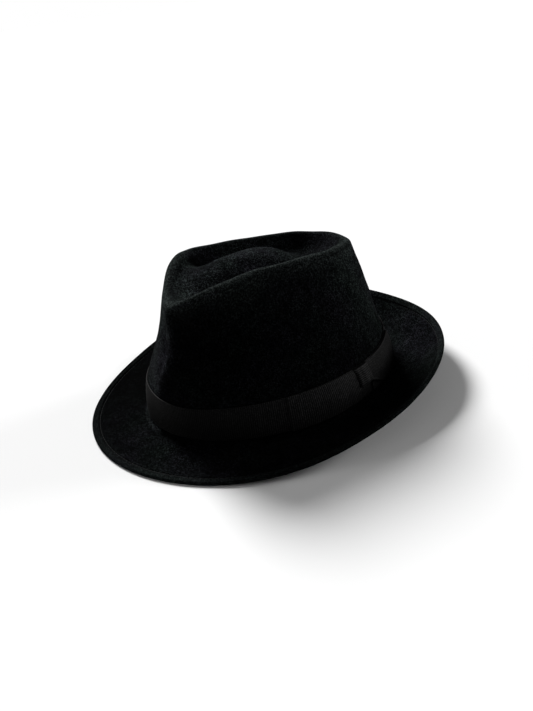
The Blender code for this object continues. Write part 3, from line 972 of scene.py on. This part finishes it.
def buildKnot(group, material):
    # a short piece of ribbon wrapped over the middle of the bow, its cords running along the band
    width = ribbon["knotWidth"]
    heightSpan = (ribbon["knotHigh"] - ribbon["knotLow"]) * ribbon["height"]
    rows = round(heightSpan / ribbon["ribPitch"] * ribbon["knotRows"])
    over = bowSeat + 2 * ribbon["thickness"] + ribbon["gap"]
    behind, ahead = ribbon["knotColumns"]
    aside = np.concatenate((np.linspace(-1, 1, behind), np.linspace(1, -1, ahead)[1:-1]))
    points, runValues, faceValues, naps, uv = [], [], [], [], []
    shares = np.linspace(0, 1, rows)
    for share in shares:
        wrap = math.sqrt(max(1 - abs(2 * share - 1) ** 7, 0))
        front = np.arange(len(aside)) >= behind
        crown = 1 - np.abs(aside) ** 6
        squeeze = 1 - ribbon["knotPinch"] * math.sin(math.pi * share)
        swell = math.sin(math.pi * share) ** 0.5
        crease = ribbon["creaseDepth"] * np.cos(aside * ribbon["creaseTurn"]) * swell
        rounded = ribbon["knotCrown"] * np.cos(aside * ribbon["crownTurn"])
        rise = (ribbon["knotRise"] + rounded) * crown + crease * crown
        lifted = bowSeat + ribbon["knotLift"]
        offset = np.where(front, lifted + (over - lifted + rise) * wrap, bowSeat)
        angles = angleAlong(aside * squeeze * width / 2)
        level = ribbon["knotLow"] + (ribbon["knotHigh"] - ribbon["knotLow"]) * share
        points.append(onWall(angles, np.full(len(aside), level), offset))
        naps.append(aroundValue(ribbonPaintedLightTable, 1, angles))
        runValues.append(np.full(len(aside), share * heightSpan))
        faceValues.append(np.where(front, crown * wrap, 0))
        uv.append(np.stack((np.full(len(aside), share * heightSpan), aside * width / 2), 1))
    columns = len(aside)
    faces = loopFaces(rows, columns, False, True)
    faces += [list(range(columns))[::-1], [(rows - 1) * columns + c for c in range(columns)]]
    faces = [face[::-1] for face in faces]
    piece = makePiece(
        "ribbonKnot", np.concatenate(points), faces, material, np.concatenate(uv),
        run=np.concatenate(runValues), face=np.concatenate(faceValues), nap=np.concatenate(naps),
    )
    addRibs(piece, group, material)
    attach(piece, "root")
    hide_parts("bow_knot")
    print("ribbon knot:", rows, "rows")


camera = {
    "turn": 58.10,
    "height": 25.90,
    "roll": -8.84,
    "distance": 0.595,
    "target": (0.0033, 0.00048, 0.0254),
    "lens": 37.975,
}


def buildCamera():
    turn, rise, roll = (math.radians(camera[k]) for k in ("turn", "height", "roll"))
    back = Vector((math.sin(turn) * math.cos(rise), -math.cos(turn) * math.cos(rise), math.sin(rise)))
    right = (-back).cross(Vector((0, 0, 1))).normalized()
    above = right.cross(-back)
    rolledRight = math.cos(roll) * right + math.sin(roll) * above
    rolledUp = math.cos(roll) * above - math.sin(roll) * right
    place = Vector(camera["target"]) + back * camera["distance"]
    lens = bpy.data.cameras.new("camera")
    lens.lens = camera["lens"]
    lens.sensor_width = 36
    lens.clip_start = 0.01
    shooter = bpy.data.objects.new("camera", lens)
    shooter.matrix_world = Matrix((
        (rolledRight.x, rolledUp.x, back.x, place.x),
        (rolledRight.y, rolledUp.y, back.y, place.y),
        (rolledRight.z, rolledUp.z, back.z, place.z),
        (0, 0, 0, 1),
    ))
    bpy.context.scene.collection.objects.link(shooter)
    bpy.context.scene.camera = shooter
    print("camera:", camera["lens"], "mm")


studio = {
    "ambient": 0.13,
    "backdrop": 1.0,
    "floor": 0.72,
    "floorRadius": 60,
    "floorDrop": 0.00002,
    "lamps": {                 # direction from the hat and height in degrees, strength, softness in degrees
        "windowLight": ((-0.986, 0.163), 38, 5.6, 20),
        "frontLight": ((-0.60, -0.80), 14, 0.8, 22),
        "backLight": ((0.30, 0.95), 15, 2.0, 20),
    },
}


def buildStudio():
    floorMaterial, tree = newMaterial("paleFloor")
    finishMaterial(tree, Base_Color=(studio["floor"],) * 3 + (1,), Roughness=0.9, Specular_IOR_Level=0.1)
    turns = np.radians(np.arange(64) * 360 / 64)
    radius, drop = studio["floorRadius"], studio["floorDrop"]
    points = np.stack((radius * np.cos(turns), radius * np.sin(turns), 0 * turns - drop), 1)
    floor = makePiece("floor", points, [tuple(range(64))], floorMaterial)
    world = bpy.data.worlds.new("studio")
    world.use_nodes = True
    world.node_tree.nodes.clear()
    tree = Tree(world.node_tree)
    seen = tree.add("ShaderNodeLightPath")["Is Camera Ray"]
    strength = studio["ambient"] + (studio["backdrop"] - studio["ambient"]) * seen
    glow = tree.add("ShaderNodeBackground", None, {"Color": (1, 1, 1, 1), "Strength": strength})
    tree.add("ShaderNodeOutputWorld", None, {"Surface": glow})
    bpy.context.scene.world = world
    for name, ((x, y), rise, strength, softness) in studio["lamps"].items():
        light = bpy.data.lights.new(name, "SUN")
        light.energy = strength
        light.angle = math.radians(softness)
        lamp = bpy.data.objects.new(name, light)
        towards = Vector((x, y, math.hypot(x, y) * math.tan(math.radians(rise))))
        lamp.location = towards * 2
        lamp.rotation_euler = (-towards).to_track_quat("-Z", "Y").to_euler()
        bpy.context.scene.collection.objects.link(lamp)
    bpy.context.scene.view_settings.view_transform = "Standard"
    print("studio: floor, world and", len(studio["lamps"]), "lights")


feltMaterial = makeFeltMaterial()
ribbonMaterial = makeRibbonMaterial()
threadMaterial = makeThreadMaterial()
buildFelt(feltMaterial)
buildStitches(threadMaterial)
ribs = ribTree()
buildBand(ribs, ribbonMaterial)
buildWing("frontWing", -1, "bow_front_wing", ribs, ribbonMaterial)
buildWing("rearWing", 1, "bow_rear_wing", ribs, ribbonMaterial)
buildKnot(ribs, ribbonMaterial)
buildCamera()
buildStudio()
